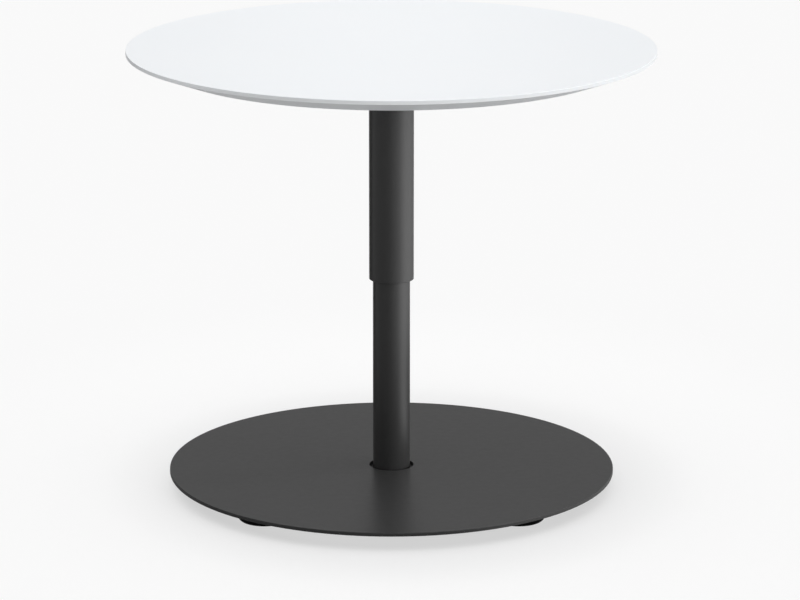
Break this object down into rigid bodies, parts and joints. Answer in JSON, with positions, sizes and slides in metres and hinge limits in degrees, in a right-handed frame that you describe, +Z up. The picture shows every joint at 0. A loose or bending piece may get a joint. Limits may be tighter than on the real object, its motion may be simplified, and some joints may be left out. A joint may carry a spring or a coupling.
{
  "type": "telescoping pedestal table",
  "caption": "Round white table with a thin bevelled edge on a telescoping gas-lift column and a flat dark grey disc base.",
  "frame": {"origin": "on the floor, in the middle under the column", "axes": "+Z up along the column; +Y to the back, along the release lever; -Y is the side the picture shows"},
  "size_m": [0.6999, 0.7, 0.6],
  "materials": {
    "powder_coat": "satin",
    "black_plastic": "satin",
    "black_acetal": "satin",
    "white_nylon": "satin",
    "zinc_plate": "satin",
    "machined_steel": "satin",
    "hardened_steel": "gloss",
    "hard_chrome": "polished",
    "black_enamel": "gloss",
    "cast_aluminium": "satin",
    "rubber": "matte",
    "brass": "satin",
    "white_laminate": "satin",
    "white_lacquered_board": "satin"
  },
  "bodies": {
    "base": {"base_plate": "powder_coat", "foot_rear_right": "black_plastic", "foot_rear_left": "black_plastic", "foot_front_left": "black_plastic", "foot_front_right": "black_plastic", "foot_studs": "zinc_plate", "column_flange": "powder_coat", "flange_studs": "zinc_plate", "flange_washers": "zinc_plate", "flange_nuts": "zinc_plate", "lower_tube": "powder_coat", "guide_bush": "black_acetal", "upper_glide_ring": "black_acetal", "bearing_seat": "machined_steel", "bearing_lower_race": "hardened_steel", "bearing_cage": "white_nylon", "bearing_balls": "hardened_steel"},
    "rod": {"bearing_upper_race": "hardened_steel", "piston_rod": "hard_chrome", "piston": "machined_steel", "piston_seal": "rubber", "rubber_bumper": "rubber", "clip_washer": "zinc_plate", "retaining_clip": "hardened_steel"},
    "top": {"gas_cylinder": "black_enamel", "rod_guide": "cast_aluminium", "upper_tube": "powder_coat", "lower_glide_ring": "black_acetal", "release_head": "machined_steel", "head_screws": "zinc_plate", "pivot_pin": "machined_steel", "top_plate": "powder_coat", "top_screws": "zinc_plate", "tabletop_core": "white_lacquered_board", "tabletop_laminate": "white_laminate", "tabletop_backing": "white_laminate"},
    "lever": {"release_lever": "powder_coat", "lever_grip": "black_plastic"},
    "button": {"release_button": "brass"}
  },
  "joints": [
    {"name": "swivel", "type": "hinge", "parent": "base", "child": "rod", "pos_m": [0, 0, 0.026], "axis": [0, 0, 1], "continuous": true},
    {"name": "lift", "type": "slide", "parent": "rod", "child": "top", "axis": [0, 0, 1], "range_m": [-0.08, 0.08]},
    {"name": "lever_pull", "type": "hinge", "parent": "top", "child": "lever", "pos_m": [0, 0.018, 0.56], "axis": [1, 0, 0], "range_deg": [0, 8], "stiffness_Nm_per_rad": 12, "springref_deg": -11.46},
    {"name": "button_press", "type": "slide", "parent": "top", "child": "button", "axis": [0, 0, -1], "range_m": [0, 0.0026]}
  ],
  "couplings": [
    {"joint": "button_press", "follows": "lever_pull", "m_per_rad": 0.018}
  ]
}
